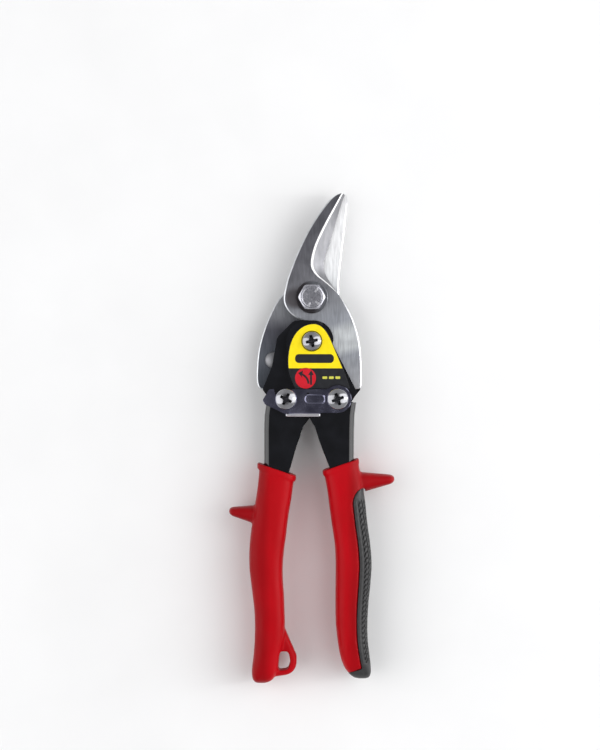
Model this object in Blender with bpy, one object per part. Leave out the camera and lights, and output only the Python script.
"""Compound-action aviation snips, lying closed and latched on their back.

Two cutting blades cross at the main bolt.  Each blade's tail is pinned to one handle, and the
handles turn on each other at the handle pivot, which makes the compound lever.  +Y runs from
the handle pivot to the blade tips, +Z is the labelled face, and the floor is at z = 0.
Lengths are in millimetres up to the point where a mesh is written.
"""

import math

import bmesh
import bpy
from mathutils import Matrix, Vector

MM = 0.001

# Overall sizes
BOLT_TO_TIP = 53.2
BOLT_TO_GRIP_END = 196.8
GRIP_LENGTH = 109.2
GRIP_WIDTH = 18.0
GUARD_REACH = 42.2

# Linkage: the main bolt is at (0, 0)
HANDLE_PIVOT_Y = -22.4
LINK_X = 13.1
LINK_Y = -51.8
HANDLE_OPENING = 36.0
LATCH_SWING = 68.0

# Thicknesses and clearances
BLADE_THICKNESS = 4.6
PLATE_THICKNESS = 1.6
LATCH_THICKNESS = 1.4
LABEL_THICKNESS = 0.3
GRIP_WALL = 3.15
INSERT_DEPTH = 1.2
GAP = 0.3
LINKAGE_SLACK = 0.35

# Fasteners
BOLT_RADIUS = 4.0
BOLT_HEAD_FLATS = 12.4
BOLT_HEAD_HEIGHT = 4.4
BOLT_NUT_FLATS = 13.0
BOLT_WASHER_RADIUS = 8.2
BOLT_WASHER_THICKNESS = 1.2
SCREW_RADIUS = 3.0
SCREW_NUT_FLATS = 10.0
LINK_HEAD_RADIUS = 5.4
PIVOT_HEAD_RADIUS = 5.0
HEAD_RIM = 1.1
HEAD_DOME = 1.8
SOCKET_FLATS = 4.0
SOCKET_DEPTH = 1.6
SPACER_RADIUS = 5.0
SLEEVE_RADIUS = 5.0
COLLAR_WALL = 0.7
LATCH_WASHER_RADIUS = 4.6
LATCH_WASHER_THICKNESS = 0.5
LATCH_EYE_RADIUS = 7.0
LATCH_TOP = 5.0
LATCH_TAB_DROP = 8.8
RIVET_RADIUS = 2.0
RIVET_HEAD_RADIUS = 4.3
RIVET_HEAD_HEIGHT = 3.0

# Blades
THROAT_Y = 3.0
EDGE_LAND = 1.0
BLADE_OVERLAP = 0.9
TAIL_BOSS_RADIUS = 5.8
TAIL_RIVET = (11.6, -32.0)

# Handles
HANDLE_LEAN = -1.4
CHANNEL_SIDE_ROOM = 4.0
WEB_TOP_Y = -53.5
TANG_END = 0.70

# Grips
RIGHT_MOUTH_Y = GRIP_LENGTH - BOLT_TO_GRIP_END + 2.4
LEFT_MOUTH_Y = GRIP_LENGTH - BOLT_TO_GRIP_END
INSERT_TOP = 0.155
INSERT_BOTTOM = 0.945
INSERT_HALF_ANGLE = 83.0
LOOP_HALF_THICKNESS = 5.0
GUARD_HALF_THICKNESS = 8.6

# Spring
SPRING_WIRE_RADIUS = 0.8
SPRING_TURNS = 4
SPRING_END_ROOM = 0.45
SPRING_LEG = 33.0

# Layers, each counted from the plane where the two blades meet
BLADE_IN = GAP / 2.0
BLADE_OUT = BLADE_IN + BLADE_THICKNESS
INNER_PLATE = (BLADE_OUT + GAP, BLADE_OUT + GAP + PLATE_THICKNESS)
OUTER_PLATE = (INNER_PLATE[1] + GAP, INNER_PLATE[1] + GAP + PLATE_THICKNESS)
LATCH_LAYER = (OUTER_PLATE[1] + GAP, OUTER_PLATE[1] + GAP + LATCH_THICKNESS)
LATCH_WASHER_LAYER = (LATCH_LAYER[1] + GAP, LATCH_LAYER[1] + GAP + LATCH_WASHER_THICKNESS)
LINK_HEAD_Z = LATCH_WASHER_LAYER[1] + GAP
PIVOT_HEAD_Z = OUTER_PLATE[1] + GAP
GRIP_HALF_THICKNESS = OUTER_PLATE[1] + GAP + GRIP_WALL
REST_Z = -GRIP_HALF_THICKNESS

COLLAR_RADIUS = SCREW_RADIUS + GAP + COLLAR_WALL
CHANNEL_HALF_SPAN = LINK_X + TAIL_BOSS_RADIUS + CHANNEL_SIDE_ROOM
HANDLE_PIVOT = (0.0, HANDLE_PIVOT_Y)
RIGHT_LINK = (LINK_X, LINK_Y)
LEFT_LINK = (-LINK_X, LINK_Y)
FRAME_ORIGIN = Vector((0.0, (BOLT_TO_TIP - BOLT_TO_GRIP_END) / 2.0, REST_Z))

# Share of the jaw from throat to tip, then x of: upper blade's back, its bevel ridge,
# its cutting edge, and the lower blade's back.
JAW = [
    (0.10, -12.7, 6.5, 9.2, 13.8),
    (0.16, -11.8, 2.2, 7.2, 14.1),
    (0.24, -10.3, -0.4, 6.1, 14.5),
    (0.32, -8.8, -0.5, 6.4, 15.0),
    (0.466, -5.6, 1.3, 8.8, 15.8),
    (0.67, -0.5, 6.1, 11.8, 17.0),
    (0.892, 7.3, 12.4, 15.1, 18.1),
]

# Share of the grip's length, centre x, half width as a share of GRIP_WIDTH, tilt in degrees,
# half thickness as a share of GRIP_HALF_THICKNESS.
RIGHT_GRIP = [
    (0.0, 14.75, 0.544, 19.0, 0.93),
    (0.022, 15.0, 0.544, 19.0, 0.94),
    (0.029, 15.3, 0.506, 18.0, 0.89),
    (0.108, 17.0, 0.511, 14.0, 0.93),
    (0.19, 18.2, 0.511, 10.0, 0.97),
    (0.282, 19.4, 0.50, 7.0, 0.99),
    (0.374, 20.8, 0.50, 4.0, 1.0),
    (0.465, 21.4, 0.508, 0.0, 1.0),
    (0.557, 21.05, 0.492, 0.0, 1.0),
    (0.648, 20.55, 0.467, 0.0, 1.0),
    (0.74, 20.35, 0.447, 0.0, 0.99),
    (0.822, 20.9, 0.428, 0.0, 0.97),
    (0.887, 21.9, 0.417, 0.0, 0.93),
    (0.941, 23.2, 0.383, 0.0, 0.85),
    (0.973, 24.4, 0.317, 0.0, 0.72),
    (0.993, 25.3, 0.222, 0.0, 0.52),
    (1.0, 25.6, 0.122, 0.0, 0.28),
]
LEFT_GRIP = [
    (0.0, -17.85, 0.58, -18.6, 0.93),
    (0.025, -18.0, 0.578, -18.6, 0.94),
    (0.031, -18.0, 0.511, -18.0, 0.89),
    (0.109, -19.0, 0.50, -15.0, 0.93),
    (0.173, -20.1, 0.494, -12.0, 0.97),
    (0.25, -21.3, 0.494, -9.0, 0.99),
    (0.31, -22.2, 0.50, -5.0, 1.0),
    (0.388, -23.1, 0.489, -2.0, 1.0),
    (0.461, -23.3, 0.472, 0.0, 1.0),
    (0.525, -22.9, 0.453, 0.0, 1.0),
    (0.59, -22.2, 0.442, 0.0, 1.0),
    (0.663, -21.6, 0.425, 0.0, 1.0),
    (0.736, -21.4, 0.422, 0.0, 0.99),
    (0.81, -21.9, 0.406, 0.0, 0.97),
    (0.883, -23.2, 0.372, 0.0, 0.94),
    (0.942, -24.1, 0.361, 0.0, 0.87),
    (0.979, -24.9, 0.294, 0.0, 0.72),
    (0.995, -25.6, 0.189, 0.0, 0.5),
    (1.0, -25.9, 0.10, 0.0, 0.26),
]

ROUND = 24
GRIP_RING = 28
GRIP_SQUARENESS = 3.0


# ---------------------------------------------------------------- materials and objects

def paint(name, colour, roughness, metallic):
    material = bpy.data.materials.new(name)
    material.use_nodes = True
    shader = material.node_tree.nodes["Principled BSDF"]
    shader.inputs["Base Color"].default_value = (*colour, 1.0)
    shader.inputs["Roughness"].default_value = roughness
    shader.inputs["Metallic"].default_value = metallic
    material.diffuse_color = (*colour, 1.0)
    return material


STEEL = ((0.62, 0.63, 0.65), 0.28, 1.0)
CHROME = ((0.82, 0.82, 0.84), 0.12, 1.0)
ZINC = ((0.60, 0.60, 0.58), 0.35, 1.0)
BLACK_METAL = ((0.025, 0.025, 0.028), 0.35, 0.4)
RED_RUBBER = ((0.62, 0.015, 0.02), 0.45, 0.0)
BLACK_RUBBER = ((0.02, 0.02, 0.022), 0.6, 0.0)
LABEL_YELLOW = ((0.85, 0.62, 0.02), 0.4, 0.0)


def body_empty(name, at):
    empty = bpy.data.objects.new(name, None)
    empty.empty_display_size = 0.01
    bpy.context.scene.collection.objects.link(empty)
    empty.location = (Vector((at[0], at[1], 0.0)) - FRAME_ORIGIN) * MM
    empty["pivot"] = (at[0], at[1])
    return empty


def place(mesh, name, empty, look):
    """Make an object whose origin is its body's joint axis, from a mesh in tool millimetres."""
    pivot = Vector((empty["pivot"][0], empty["pivot"][1], 0.0))
    mesh.transform(Matrix.Scale(MM, 4) @ Matrix.Translation(-pivot))
    for polygon in mesh.polygons:
        polygon.use_smooth = True
    mesh.set_sharp_from_angle(angle=math.radians(35.0))
    piece = bpy.data.objects.new(name, mesh)
    bpy.context.scene.collection.objects.link(piece)
    piece.parent = empty
    if look is not None:
        mesh.materials.append(paint(name, *look))
    return piece


def shape(target, tool_mesh, operation):
    """Cut or join with a guide object that stays hidden in the piece's own frame."""
    guide = place(tool_mesh, target.name + "_guide", target.parent, None)
    guide.hide_render = True
    guide.display_type = 'WIRE'
    modifier = target.modifiers.new("Boolean", 'BOOLEAN')
    modifier.operation = operation
    modifier.solver = 'EXACT'
    modifier.object = guide


def cut(target, tool_mesh):
    shape(target, tool_mesh, 'DIFFERENCE')


def join(target, tool_mesh):
    shape(target, tool_mesh, 'UNION')


# ---------------------------------------------------------------- meshes

def closed_mesh(vertices, faces):
    bm = bmesh.new()
    points = [bm.verts.new(vertex) for vertex in vertices]
    for face in faces:
        bm.faces.new([points[index] for index in face])
    bmesh.ops.recalc_face_normals(bm, faces=bm.faces)
    mesh = bpy.data.meshes.new("solid")
    bm.to_mesh(mesh)
    bm.free()
    return mesh


def prism(outline, low, high):
    """Straight extrusion of a flat outline between two heights."""
    count = len(outline)
    vertices = [(x, y, low) for x, y in outline] + [(x, y, high) for x, y in outline]
    faces = [list(range(count)), list(range(count, 2 * count))]
    for i in range(count):
        j = (i + 1) % count
        faces.append([i, j, count + j, count + i])
    return closed_mesh(vertices, faces)


def loft(rings, closed=False):
    """Skin between rings of equal length; the ends are capped unless the rings close up."""
    count = len(rings[0])
    vertices = [point for ring in rings for point in ring]
    faces = []
    spans = len(rings) if closed else len(rings) - 1
    for r in range(spans):
        first = r * count
        second = ((r + 1) % len(rings)) * count
        for i in range(count):
            j = (i + 1) % count
            faces.append([first + i, first + j, second + j, second + i])
    if not closed:
        faces.append(list(range(count)))
        faces.append(list(range(len(vertices) - count, len(vertices))))
    return closed_mesh(vertices, faces)


def ring_points(at, radius, z, flats=None):
    """A round ring, or a hexagonal one when the distance across flats is given."""
    points = []
    for i in range(ROUND):
        angle = 2.0 * math.pi * i / ROUND
        reach = radius
        if flats is not None:
            turn = (angle + math.pi / 6.0) % (math.pi / 3.0) - math.pi / 6.0
            reach = flats / 2.0 / math.cos(math.pi / 6.0 - abs(turn))
        points.append((at[0] + reach * math.cos(angle), at[1] + reach * math.sin(angle), z))
    return points


def disc(at, radius, low, high):
    return loft([ring_points(at, radius, low), ring_points(at, radius, high)])


def tube(at, inner, outer, low, high):
    return loft([
        ring_points(at, inner, low),
        ring_points(at, outer, low),
        ring_points(at, outer, high),
        ring_points(at, inner, high),
    ], closed=True)


def hex_nut(at, bore, flats, low, high):
    """A nut with its hexagon chamfered towards the floor side."""
    chamfer = 0.6
    return loft([
        ring_points(at, bore, low),
        ring_points(at, flats / 2.0 - 0.2, low),
        ring_points(at, 0.0, low + chamfer, flats),
        ring_points(at, 0.0, high, flats),
        ring_points(at, bore, high),
    ], closed=True)


def domed_screw(at, end, shank, head, head_z):
    """A screw with a domed head and a hexagonal socket."""
    rings = [
        ring_points(at, shank, end),
        ring_points(at, shank, head_z),
        ring_points(at, head, head_z),
        ring_points(at, head, head_z + HEAD_RIM),
    ]
    for step in (0.35, 0.7):
        radius = head + (SOCKET_FLATS * 0.75 - head) * step
        height = HEAD_RIM + HEAD_DOME * math.sin(math.pi / 2.0 * step)
        rings.append(ring_points(at, radius, head_z + height))
    top = head_z + HEAD_RIM + HEAD_DOME
    rings.append(ring_points(at, 0.0, top, SOCKET_FLATS))
    rings.append(ring_points(at, 0.0, top - SOCKET_DEPTH, SOCKET_FLATS))
    return loft(rings)


def fillet(corners, steps=5):
    """Turn corners (x, y, radius) into an outline with round stretches."""
    outline = []
    count = len(corners)
    for i, (x, y, radius) in enumerate(corners):
        corner = Vector((x, y))
        if radius <= 0.0:
            outline.append((x, y))
            continue
        back = (Vector(corners[i - 1][:2]) - corner).normalized()
        ahead = (Vector(corners[(i + 1) % count][:2]) - corner).normalized()
        half = back.angle(ahead) / 2.0
        start = corner + back * (radius / math.tan(half))
        centre = corner + (back + ahead).normalized() * (radius / math.sin(half))
        sweep = math.pi - 2.0 * half
        side = 1.0 if back.cross(ahead) < 0.0 else -1.0
        arm = start - centre
        for step in range(steps + 1):
            turn = Matrix.Rotation(side * sweep * step / steps, 2)
            outline.append(tuple(centre + turn @ arm))
    return outline


def arc(at, radius, start, end, steps=10):
    points = []
    for i in range(steps + 1):
        angle = math.radians(start + (end - start) * i / steps)
        points.append((at[0] + radius * math.cos(angle), at[1] + radius * math.sin(angle)))
    return points


# ---------------------------------------------------------------- blades

def jaw_y(share):
    return THROAT_Y + share * (BOLT_TO_TIP - THROAT_Y)


def blade_solid(before, ridge, edge, face, back):
    """A flat blade whose cutting edge is ground back along a ridge.

    The outline runs through `before`, then down the cutting edge.  The first and last ridge
    points also lie on the outline, next to the two ends of the edge.
    """
    land = face + (back - face) / abs(back - face) * EDGE_LAND
    outline = before + [ridge[0]] + edge + [ridge[-1]]
    count = len(outline)
    first_edge = len(before) + 1
    vertices = [(x, y, face) for x, y in outline]
    for i, (x, y) in enumerate(outline):
        on_edge = first_edge <= i < first_edge + len(edge)
        vertices.append((x, y, land if on_edge else back))
    inner = len(vertices)
    vertices += [(x, y, back) for x, y in ridge[1:-1]]
    ridge_index = [count + first_edge - 1]
    ridge_index += list(range(inner, inner + len(ridge) - 2))
    ridge_index.append(2 * count - 1)
    faces = [list(range(count))]
    faces.append([count + i for i in range(len(before))] + ridge_index)
    for k in range(len(edge) - 1):
        low = count + first_edge + k
        faces.append([ridge_index[k], ridge_index[k + 1], low + 1])
        faces.append([ridge_index[k], low + 1, low])
    for i in range(count):
        j = (i + 1) % count
        faces.append([i, j, count + j, count + i])
    return closed_mesh(vertices, faces)


def cut_bores(blade, bores, low, high):
    for at, radius in bores:
        cut(blade, disc(at, radius, low - 1.0, high + 1.0))


def beside_link_line(points, side):
    """Points given by their distance outward from the line between bolt and link, and y."""
    return [(side * (out + LINK_X * y / LINK_Y), y) for out, y in points]


def upper_blade(body):
    """Front blade: broad jaw on the left, tail down the right to the right link."""
    tail = beside_link_line([
        (15.4, -1.8), (17.5, -7.6), (18.5, -13.7), (18.7, -20.8), (17.9, -27.9), (16.0, -37.1),
        (13.8, -45.6), (12.8, -46.6), (8.1, -47.0),
    ], 1)
    tail += arc(RIGHT_LINK, TAIL_BOSS_RADIUS, 20.0, -195.0, 12)
    tail += beside_link_line([(1.6, -38.0), (4.2, -32.0), (4.5, -24.9), (2.9, -18.8)], 1)
    tail += [(3.2, -14.6), (-1.4, -12.6), (-5.5, -11.8), (-11.0, -8.4), (-13.8, -4.2)]
    tail.append((-14.5, 0.0))
    back = [(row[1], jaw_y(row[0])) for row in JAW] + [(11.8, jaw_y(0.978))]
    ridge = [(15.4, jaw_y(1.0))] + [(row[2], jaw_y(row[0])) for row in reversed(JAW)]
    ridge.append((13.4, THROAT_Y - 1.2))
    edge = [(16.9, jaw_y(0.984))] + [(row[3], jaw_y(row[0])) for row in reversed(JAW)]
    edge.append((12.7, THROAT_Y))
    mesh = blade_solid(tail + back, ridge, edge, BLADE_IN, BLADE_OUT)
    blade = place(mesh, "upper_blade", body, STEEL)
    bores = [((0.0, 0.0), BOLT_RADIUS + GAP), (RIGHT_LINK, SCREW_RADIUS + GAP)]
    cut_bores(blade, bores, BLADE_IN, BLADE_OUT)


def lower_blade(body):
    """Back blade: narrow straight jaw on the right, tail down the left to the left link."""
    back = [(18.4, jaw_y(0.96))] + [(row[4], jaw_y(row[0])) for row in reversed(JAW)]
    tail = [(13.9, 0.0), (13.4, -4.6), (10.8, -9.0), (6.6, -12.3), (0.0, -13.6)]
    tail.append((-3.6, -14.6))
    tail += beside_link_line([(2.9, -18.8), (4.5, -24.9), (4.2, -32.0), (1.6, -38.0)], -1)
    tail += arc(LEFT_LINK, TAIL_BOSS_RADIUS, 15.0, -200.0, 12)
    tail += beside_link_line([
        (8.4, -47.4), (13.4, -47.2), (15.7, -45.9), (17.4, -42.5), (18.9, -36.0),
        (20.2, -28.5), (20.5, -21.8), (20.0, -14.2), (18.8, -7.8), (17.4, -2.0),
    ], -1)
    tail += [(-14.1, 2.4), (-8.0, 6.4)]
    jaw = [row for row in JAW if row[0] > 0.2]
    bevel_width = 4.3
    edge = [(2.2, jaw_y(0.195))] + [(row[3] - BLADE_OVERLAP, jaw_y(row[0])) for row in jaw]
    edge.append((15.8, jaw_y(0.992)))
    ridge = [(-1.2, jaw_y(0.13))] + [(x + bevel_width, y) for x, y in edge[1:-2]]
    ridge += [(edge[-2][0] + bevel_width / 2.0, edge[-2][1]), (17.4, jaw_y(0.988))]
    mesh = blade_solid(back + tail, ridge, edge, -BLADE_IN, -BLADE_OUT)
    blade = place(mesh, "lower_blade", body, STEEL)
    bores = [((0.0, 0.0), BOLT_RADIUS + LINKAGE_SLACK), (LEFT_LINK, SCREW_RADIUS + GAP)]
    bores.append((beside_link_line([TAIL_RIVET], -1)[0], RIVET_RADIUS + GAP))
    cut_bores(blade, bores, -BLADE_OUT, -BLADE_IN)


def main_bolt(body):
    """Hexagon head bolt that the blades cross on."""
    at = (0.0, 0.0)
    seat = BLADE_OUT + GAP + BOLT_WASHER_THICKNESS + GAP
    top = seat + BOLT_HEAD_HEIGHT
    rings = [
        ring_points(at, BOLT_RADIUS, REST_Z + GAP),
        ring_points(at, BOLT_RADIUS, seat),
        ring_points(at, 0.0, seat, BOLT_HEAD_FLATS),
        ring_points(at, 0.0, top - 1.0, BOLT_HEAD_FLATS),
        ring_points(at, BOLT_HEAD_FLATS / 2.0 - 0.3, top),
    ]
    place(loft(rings), "main_bolt", body, CHROME)
    low = BLADE_OUT + GAP
    high = low + BOLT_WASHER_THICKNESS
    bore = BOLT_RADIUS + GAP
    place(tube(at, bore, BOLT_WASHER_RADIUS, low, high), "main_washer", body, CHROME)
    place(tube(at, bore, BOLT_WASHER_RADIUS, -high, -low), "main_back_washer", body, ZINC)
    place(hex_nut(at, bore, BOLT_NUT_FLATS, REST_Z, -high - GAP), "main_nut", body, ZINC)


def tail_rivet(body):
    """Round rivet through the lower blade's tail."""
    at = beside_link_line([TAIL_RIVET], -1)[0]
    rings = [
        ring_points(at, RIVET_RADIUS, -BLADE_OUT),
        ring_points(at, RIVET_RADIUS, -BLADE_IN + GAP),
        ring_points(at, RIVET_HEAD_RADIUS, -BLADE_IN + GAP),
        ring_points(at, RIVET_HEAD_RADIUS, RIVET_HEAD_HEIGHT - 0.6),
        ring_points(at, RIVET_HEAD_RADIUS - 0.6, RIVET_HEAD_HEIGHT),
    ]
    place(loft(rings), "tail_rivet", body, STEEL)


# ---------------------------------------------------------------- grips and tangs

def grip_y(mouth, share):
    return mouth - share * GRIP_LENGTH


def section_at(stations, share):
    """Straight reading between the two stations that a share of the length falls between."""
    for low, high in zip(stations, stations[1:]):
        if low[0] <= share <= high[0]:
            mix = (share - low[0]) / (high[0] - low[0])
            return tuple(a + (b - a) * mix for a, b in zip(low, high))
    return stations[-1]


def section_point(station, mouth, across, height):
    """Point at a signed distance from the section's centre, along its tilted line."""
    share, centre, _, tilt, _ = station
    tilt = math.radians(tilt)
    x = centre + across * math.cos(tilt)
    return (x, grip_y(mouth, share) + across * math.sin(tilt), height)


def oval(station, mouth, angles, grow=0.0):
    """Points of a grip section, a rounded rectangle, at the given angles from its +X side."""
    half_width = station[2] * GRIP_WIDTH + grow
    half_height = station[4] * GRIP_HALF_THICKNESS + grow
    power = 2.0 / GRIP_SQUARENESS
    points = []
    for angle in angles:
        c = math.cos(angle)
        s = math.sin(angle)
        across = math.copysign(abs(c) ** power, c) * half_width
        height = math.copysign(abs(s) ** power, s) * half_height
        points.append(section_point(station, mouth, across, height))
    return points


def grip_sleeve(stations, mouth):
    angles = [2.0 * math.pi * (i + 0.5) / GRIP_RING for i in range(GRIP_RING)]
    return loft([oval(station, mouth, angles) for station in stations])


def tang_edges(stations, mouth, grow=0.0):
    """Outline of the handle's tang inside its grip, as (palm side, inner side) point lists."""
    palm = 1.0 if stations[0][1] > 0.0 else -1.0
    outer = []
    inner = []
    for share in (0.0, 0.12, 0.2, 0.32, 0.44, 0.56, TANG_END + grow / GRIP_LENGTH):
        station = (share,) + section_at(stations, max(share, 0.03))[1:]
        blend = min(1.0, share / 0.12)
        half = station[2] * GRIP_WIDTH
        outer_reach = half * (0.70 - 0.16 * blend) + grow
        inner_reach = half * (0.70 - 0.10 * blend) + grow
        outer.append(section_point(station, mouth, palm * outer_reach, 0.0)[:2])
        inner.append(section_point(station, mouth, -palm * inner_reach, 0.0)[:2])
    return outer, inner


def tang_room(stations, mouth):
    """Pocket for the tang, flaring out past the grip's mouth."""
    outer, inner = tang_edges(stations, mouth, grow=GAP)
    across = (Vector(outer[0]) - Vector(inner[0])).normalized()
    along = Vector((0.0, 4.0))
    outer.insert(0, tuple(Vector(outer[0]) + along + across * 2.0))
    inner.insert(0, tuple(Vector(inner[0]) + along - across * 2.0))
    front, back = (OUTER_PLATE[1], INNER_PLATE[1])
    if stations[0][1] < 0.0:
        front, back = back, front
    return prism(outer + list(reversed(inner)), -back - GAP, front + GAP)


def guard(root_x, tip_x, top_y, drop, root_half):
    """Flat-topped horn that stops the hand, drawn from inside the grip to its rounded tip."""
    rings = []
    for share in (0.0, 0.3, 0.55, 0.78, 0.9, 0.965, 1.0):
        x = root_x + (tip_x - root_x) * share
        past = max(0.0, (share - 0.9) / 0.1)
        taper = math.sqrt(1.0 - 0.8 * past * past)
        full = root_half * (1.0 - 0.68 * share)
        centre_y = top_y - drop * share - full
        half_z = GUARD_HALF_THICKNESS * (1.0 - 0.25 * share) * taper
        ring = []
        for i in range(16):
            angle = 2.0 * math.pi * (i + 0.5) / 16
            c = math.cos(angle)
            s = math.sin(angle)
            y = centre_y + math.copysign(abs(c) ** 0.75, c) * full * taper
            z = math.copysign(abs(s) ** 0.75, s) * half_z
            ring.append((x, y, z))
        rings.append(ring)
    return loft(rings)


def insert_band(stations, mouth, depth, outward, reach, top, bottom):
    """Half shell on the palm side of a grip, from one share of the length to another."""
    shares = [top] + [row[0] for row in stations if top < row[0] < bottom] + [bottom]
    steps = 12
    half = math.radians(INSERT_HALF_ANGLE + reach)
    angles = [-half + 2.0 * half * i / steps for i in range(steps + 1)]
    rings = []
    for share in shares:
        station = section_at(stations, share)
        outer = oval(station, mouth, angles, outward)
        inner = oval(station, mouth, angles, -depth)
        rings.append(outer + list(reversed(inner)))
    return loft(rings)


def right_grip(body):
    mouth = RIGHT_MOUTH_Y
    grip = place(grip_sleeve(RIGHT_GRIP, mouth), "right_grip", body, RED_RUBBER)
    join(grip, guard(19.0, GUARD_REACH, grip_y(mouth, 0.032), 2.0, 6.4))
    cut(grip, tang_room(RIGHT_GRIP, mouth))
    ends = GAP / GRIP_LENGTH
    room = insert_band(RIGHT_GRIP, mouth, INSERT_DEPTH + GAP, 3.0, 3.0,
                       INSERT_TOP - ends, INSERT_BOTTOM + ends)
    cut(grip, room)
    insert = insert_band(RIGHT_GRIP, mouth, INSERT_DEPTH, 0.0, 0.0, INSERT_TOP, INSERT_BOTTOM)
    place(insert, "right_grip_insert", body, BLACK_RUBBER)


def left_grip(body):
    mouth = LEFT_MOUTH_Y
    grip = place(grip_sleeve(LEFT_GRIP, mouth), "left_grip", body, RED_RUBBER)
    join(grip, guard(-23.0, -GUARD_REACH, grip_y(mouth, 0.167), 1.4, 6.0))
    loop_y = grip_y(mouth, 0.895)
    loop = fillet([
        (-20.0, loop_y + 18.0, 0.0), (-14.6, loop_y + 18.0, 0.0), (-7.6, loop_y + 2.0, 6.0),
        (-8.0, loop_y - 6.5, 6.5), (-24.0, loop_y - 9.0, 0.0),
    ])
    join(grip, prism(loop, -LOOP_HALF_THICKNESS, LOOP_HALF_THICKNESS))
    cut(grip, tang_room(LEFT_GRIP, mouth))
    hole = fillet([
        (-16.4, loop_y + 4.8, 1.5), (-11.9, loop_y + 4.8, 1.8), (-10.9, loop_y - 0.5, 3.0),
        (-12.0, loop_y - 4.4, 2.0), (-17.2, loop_y - 5.2, 1.2),
    ])
    cut(grip, prism(hole, REST_Z - 1.0, GRIP_HALF_THICKNESS + 1.0))


# ---------------------------------------------------------------- handles

def mirrored(points, side):
    """Right-handle points, or the same points carried over to the left handle."""
    moved = []
    for x, y in points:
        lean = HANDLE_LEAN * min(1.0, max(0.0, (LINK_Y - y) / 10.0))
        moved.append((side * x + lean, y))
    return moved


def outer_plate_top(side):
    """Pivot end of the plate that lies outermost: palm edge down, then inner edge up."""
    palm = fillet([
        (-12.9, -35.0, 0.0), (-12.9, -12.0, 10.5), (4.5, -12.0, 6.0),
        (CHANNEL_HALF_SPAN + 0.1, -48.3, 1.5), (CHANNEL_HALF_SPAN, -57.0, 0.0),
    ])[1:]
    palm.append((CHANNEL_HALF_SPAN, -67.6))
    inner = [(7.0, -78.0), (4.8, -72.0), (3.2, -66.5), (-4.4, -54.9), (-8.8, -46.7), (-11.4, -41.8)]
    inner.append((-12.6, -37.5))
    return mirrored(palm, side), mirrored(inner, side)


def inner_plate_top(side):
    """Pivot end of the plate that lies against the blades."""
    palm = fillet([
        (-11.0, -25.0, 0.0), (-11.0, -11.8, 10.0), (9.0, -11.8, 4.0), (17.6, -20.4, 3.0),
        (20.2, -35.0, 8.0), (CHANNEL_HALF_SPAN + 2.1, -46.8, 1.5),
        (CHANNEL_HALF_SPAN, -57.0, 0.0),
    ])[1:]
    palm.append((CHANNEL_HALF_SPAN, -67.6))
    inner = [(7.0, -78.0), (4.8, -71.0), (1.4, -61.5), (-4.0, -46.0), (-9.6, -30.0)]
    return mirrored(palm, side), mirrored(inner, side)


def plate(edges, tang, low, high):
    palm, inner = edges
    tang_outer, tang_inner = tang
    outline = palm + tang_outer + list(reversed(tang_inner)) + inner
    return prism(outline, low, high)


def web_strip(side, tang_outer):
    """Back of the channel: a strip just inside the palm edge of both plates."""
    inset = 0.15
    path = mirrored([(CHANNEL_HALF_SPAN, WEB_TOP_Y), (CHANNEL_HALF_SPAN, -67.6)], side)
    path += tang_outer[:-1] + [tuple(Vector(tang_outer[-1]) + Vector((0.0, 0.4)))]
    near = [(x - side * inset, y) for x, y in path]
    far = [(x - side * (inset + PLATE_THICKNESS), y) for x, y in path]
    return near + list(reversed(far))


def handle(body, name, side, stations, mouth):
    """Channel stamping; its outer plate is in front on the right handle, behind on the left."""
    tang = tang_edges(stations, mouth)
    sign = 1.0 if side > 0 else -1.0
    outer = sorted(sign * z for z in OUTER_PLATE)
    inner = sorted(-sign * z for z in INNER_PLATE)
    piece = place(plate(outer_plate_top(side), tang, *outer), name, body, BLACK_METAL)
    join(piece, plate(inner_plate_top(side), tang, *inner))
    overlap = PLATE_THICKNESS / 2.0
    reach = sorted([sign * (OUTER_PLATE[0] + overlap), -sign * (INNER_PLATE[0] + overlap)])
    join(piece, prism(web_strip(side, tang[0]), *reach))
    link = RIGHT_LINK if side > 0 else LEFT_LINK
    for at in (HANDLE_PIVOT, link):
        bore = disc(at, SCREW_RADIUS + GAP, REST_Z, GRIP_HALF_THICKNESS)
        cut(piece, bore)


# ---------------------------------------------------------------- pivots

def screw_and_nut(body, name, at, head, head_z, nut_top):
    shank = domed_screw(at, REST_Z + GAP, SCREW_RADIUS, head, head_z)
    place(shank, name + "_screw", body, CHROME)
    nut = hex_nut(at, SCREW_RADIUS + GAP, SCREW_NUT_FLATS, REST_Z, nut_top)
    place(nut, name + "_nut", body, ZINC)


def handle_pivot(body):
    screw_and_nut(body, "handle_pivot", HANDLE_PIVOT, PIVOT_HEAD_RADIUS, PIVOT_HEAD_Z,
                  -OUTER_PLATE[1] - GAP)
    sleeve = tube(HANDLE_PIVOT, SCREW_RADIUS + GAP, SLEEVE_RADIUS, -BLADE_OUT, BLADE_OUT)
    place(sleeve, "handle_pivot_sleeve", body, ZINC)


def ring_piece(body, name, at, outer, low, high, look):
    place(tube(at, SCREW_RADIUS + GAP, outer, low, high), name, body, look)


def right_link(body):
    """Pin between the right handle and the upper blade's tail; the latch turns on it."""
    at = RIGHT_LINK
    screw_and_nut(body, "right_link", at, LINK_HEAD_RADIUS, LINK_HEAD_Z, -OUTER_PLATE[1] - GAP)
    ring_piece(body, "right_link_washer", at, SPACER_RADIUS, *INNER_PLATE, ZINC)
    ring_piece(body, "right_link_spacer", at, SPACER_RADIUS, -BLADE_OUT, -BLADE_IN, ZINC)
    low, high = -OUTER_PLATE[1], -OUTER_PLATE[0]
    ring_piece(body, "right_nut_washer", at, SPACER_RADIUS, low, high, ZINC)
    ring_piece(body, "latch_washer", at, LATCH_WASHER_RADIUS, *LATCH_WASHER_LAYER, ZINC)


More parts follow.
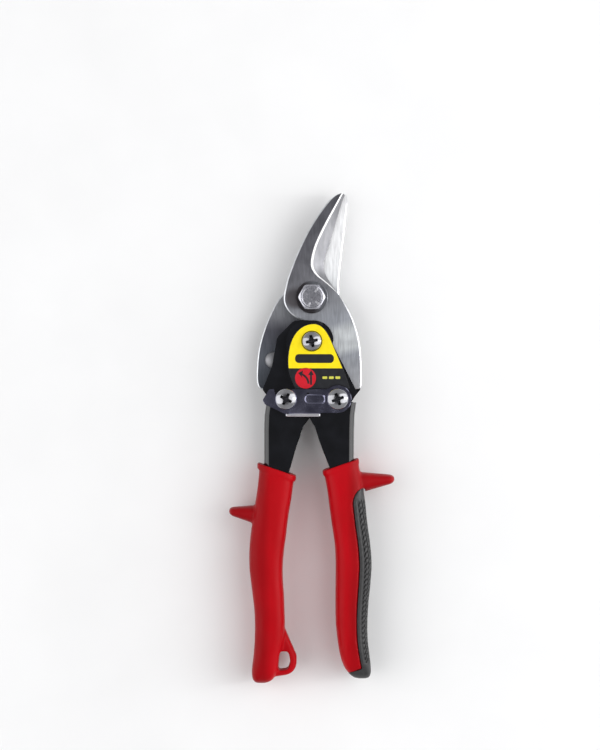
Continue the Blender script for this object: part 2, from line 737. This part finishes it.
def left_link(body):
    """Pin between the left handle and the lower blade's tail; its collar catches the latch."""
    at = LEFT_LINK
    screw_and_nut(body, "left_link", at, LINK_HEAD_RADIUS, LINK_HEAD_Z, -OUTER_PLATE[1] - GAP)
    ring_piece(body, "left_link_spacer", at, SPACER_RADIUS, BLADE_IN, BLADE_OUT, ZINC)
    low, high = -INNER_PLATE[1], -INNER_PLATE[0]
    ring_piece(body, "left_link_washer", at, SPACER_RADIUS, low, high, ZINC)
    low, high = OUTER_PLATE[0], LATCH_WASHER_LAYER[1]
    ring_piece(body, "latch_collar", at, COLLAR_RADIUS, low, high, CHROME)


def return_spring(body):
    """Torsion spring round the pivot sleeve, one leg towards each handle."""
    radius = SLEEVE_RADIUS + GAP + SPRING_WIRE_RADIUS + 0.2
    height = INNER_PLATE[0] - SPRING_END_ROOM - SPRING_WIRE_RADIUS
    leg_y = HANDLE_PIVOT_Y - SPRING_LEG
    foot = CHANNEL_HALF_SPAN + HANDLE_LEAN - 4.2
    path = [(-foot, leg_y - 9.0, height), (-radius - 2.0, leg_y - 2.0, height)]
    path.append((-radius, leg_y, height))
    steps = 16 * SPRING_TURNS + 8
    for i in range(steps + 1):
        share = i / steps
        angle = math.pi - share * (2.0 * SPRING_TURNS + 1.0) * math.pi
        y = HANDLE_PIVOT_Y + radius * math.sin(angle)
        path.append((radius * math.cos(angle), y, height * (1.0 - 2.0 * share)))
    path += [(radius, leg_y, -height), (radius + 2.0, leg_y - 2.0, -height)]
    path.append((foot, leg_y - 9.0, -height))
    curve = bpy.data.curves.new("return_spring", 'CURVE')
    curve.dimensions = '3D'
    curve.bevel_depth = SPRING_WIRE_RADIUS * MM
    curve.bevel_resolution = 1
    curve.use_fill_caps = True
    spline = curve.splines.new('POLY')
    spline.points.add(len(path) - 1)
    for point, (x, y, z) in zip(spline.points, path):
        local = Vector((x - body["pivot"][0], y - body["pivot"][1], z)) * MM
        point.co = (*local, 1.0)
    curve.materials.append(paint("return_spring", *STEEL))
    spring = bpy.data.objects.new("return_spring", curve)
    bpy.context.scene.collection.objects.link(spring)
    spring.parent = body


# ---------------------------------------------------------------- latch and label

def collar_in_latch(opening):
    """Centre of the left collar as the latch sees it when the handles have opened."""
    turn = Matrix.Rotation(math.radians(-opening), 2)
    swing = Matrix.Rotation(math.radians(-opening * LATCH_SWING / HANDLE_OPENING), 2)
    collar = Vector(HANDLE_PIVOT) + turn @ (Vector(LEFT_LINK) - Vector(HANDLE_PIVOT))
    return Vector(RIGHT_LINK) + swing @ (collar - Vector(RIGHT_LINK))


def latch_slot():
    """Slot that the collar leaves by, as the handles open and the latch swings down."""
    reach = COLLAR_RADIUS + GAP
    left = []
    right = []
    for step in range(8):
        opening = 2.0 * step
        here = collar_in_latch(opening)
        heading = (collar_in_latch(opening + 0.5) - collar_in_latch(opening - 0.5)).normalized()
        across = Vector((-heading.y, heading.x)) * reach
        left.append(tuple(here + across))
        right.append(tuple(here - across))
        if step == 0:
            start = math.degrees(math.atan2(heading.y, heading.x))
    seat = arc(LEFT_LINK, reach, start + 90.0, start + 270.0, 12)
    return list(reversed(left)) + seat[1:-1] + right


def latch(body):
    eye = LATCH_EYE_RADIUS
    top = LINK_Y + LATCH_TOP
    tab_y = LINK_Y - LATCH_TAB_DROP
    tab_left = -LINK_X
    tab_right = LINK_X - 8.9
    outline = fillet([
        (tab_right, LINK_Y - eye, 0.0), (tab_right, tab_y, 0.8), (tab_left, tab_y, 0.8),
        (tab_left - 0.7, tab_y + 1.4, 0.0), (-LINK_X - 10.5, LINK_Y - 2.8, 1.0),
        (-LINK_X - 11.9, LINK_Y - 0.6, 1.2), (-LINK_X - 8.5, top, 1.2), (-LINK_X, top, 0.0),
    ])
    outline += [(LINK_X - 6.0, top)]
    outline += arc(RIGHT_LINK, eye, 128.0, -90.0, 14)
    piece = place(prism(outline, *LATCH_LAYER), "latch", body, CHROME)
    tab = [(tab_left + 0.2, tab_y + 0.2), (tab_right - 0.2, tab_y + 0.2),
           (tab_right - 0.2, tab_y + 0.2 + LATCH_THICKNESS),
           (tab_left + 0.2, tab_y + 0.2 + LATCH_THICKNESS)]
    join(piece, prism(tab, LATCH_LAYER[0] + LATCH_THICKNESS / 2.0, LATCH_LAYER[1] + 2.8))
    cut(piece, disc(RIGHT_LINK, SCREW_RADIUS + GAP, LATCH_LAYER[0] - 1.0, LATCH_LAYER[1] + 1.0))
    cut(piece, prism(latch_slot(), LATCH_LAYER[0] - 1.0, LATCH_LAYER[1] + 1.0))


def label(body):
    """Thin D-shaped plate with a hole for the pivot screw's head."""
    bottom = LINK_Y + LATCH_TOP + GAP
    outline = fillet([(-12.0, -14.0, 9.0), (3.2, -13.6, 5.0),
                      (CHANNEL_HALF_SPAN - 3.7, bottom, 0.0),
                      (-8.6, bottom, 0.0), (-12.0, -36.0, 5.0)])
    low = OUTER_PLATE[1] + GAP
    piece = place(prism(outline, low, low + LABEL_THICKNESS), "handle_label", body, LABEL_YELLOW)
    cut(piece, disc(HANDLE_PIVOT, PIVOT_HEAD_RADIUS + GAP, low - 1.0, low + 1.0))
    cut(piece, disc(RIGHT_LINK, LATCH_EYE_RADIUS + GAP, low - 1.0, low + 1.0))


# ---------------------------------------------------------------- assembly

for old in list(bpy.data.objects):
    bpy.data.objects.remove(old)

right_body = body_empty("right_handle_body", HANDLE_PIVOT)
left_body = body_empty("left_handle_body", HANDLE_PIVOT)
upper_blade_body = body_empty("upper_blade_body", RIGHT_LINK)
lower_blade_body = body_empty("lower_blade_body", LEFT_LINK)
latch_body = body_empty("latch_body", RIGHT_LINK)

upper_blade(upper_blade_body)
main_bolt(upper_blade_body)
lower_blade(lower_blade_body)
tail_rivet(lower_blade_body)
handle(right_body, "right_handle", 1, RIGHT_GRIP, RIGHT_MOUTH_Y)
handle(left_body, "left_handle", -1, LEFT_GRIP, LEFT_MOUTH_Y)
handle_pivot(right_body)
right_link(right_body)
left_link(left_body)
return_spring(right_body)
latch(latch_body)
label(right_body)
right_grip(right_body)
left_grip(left_body)
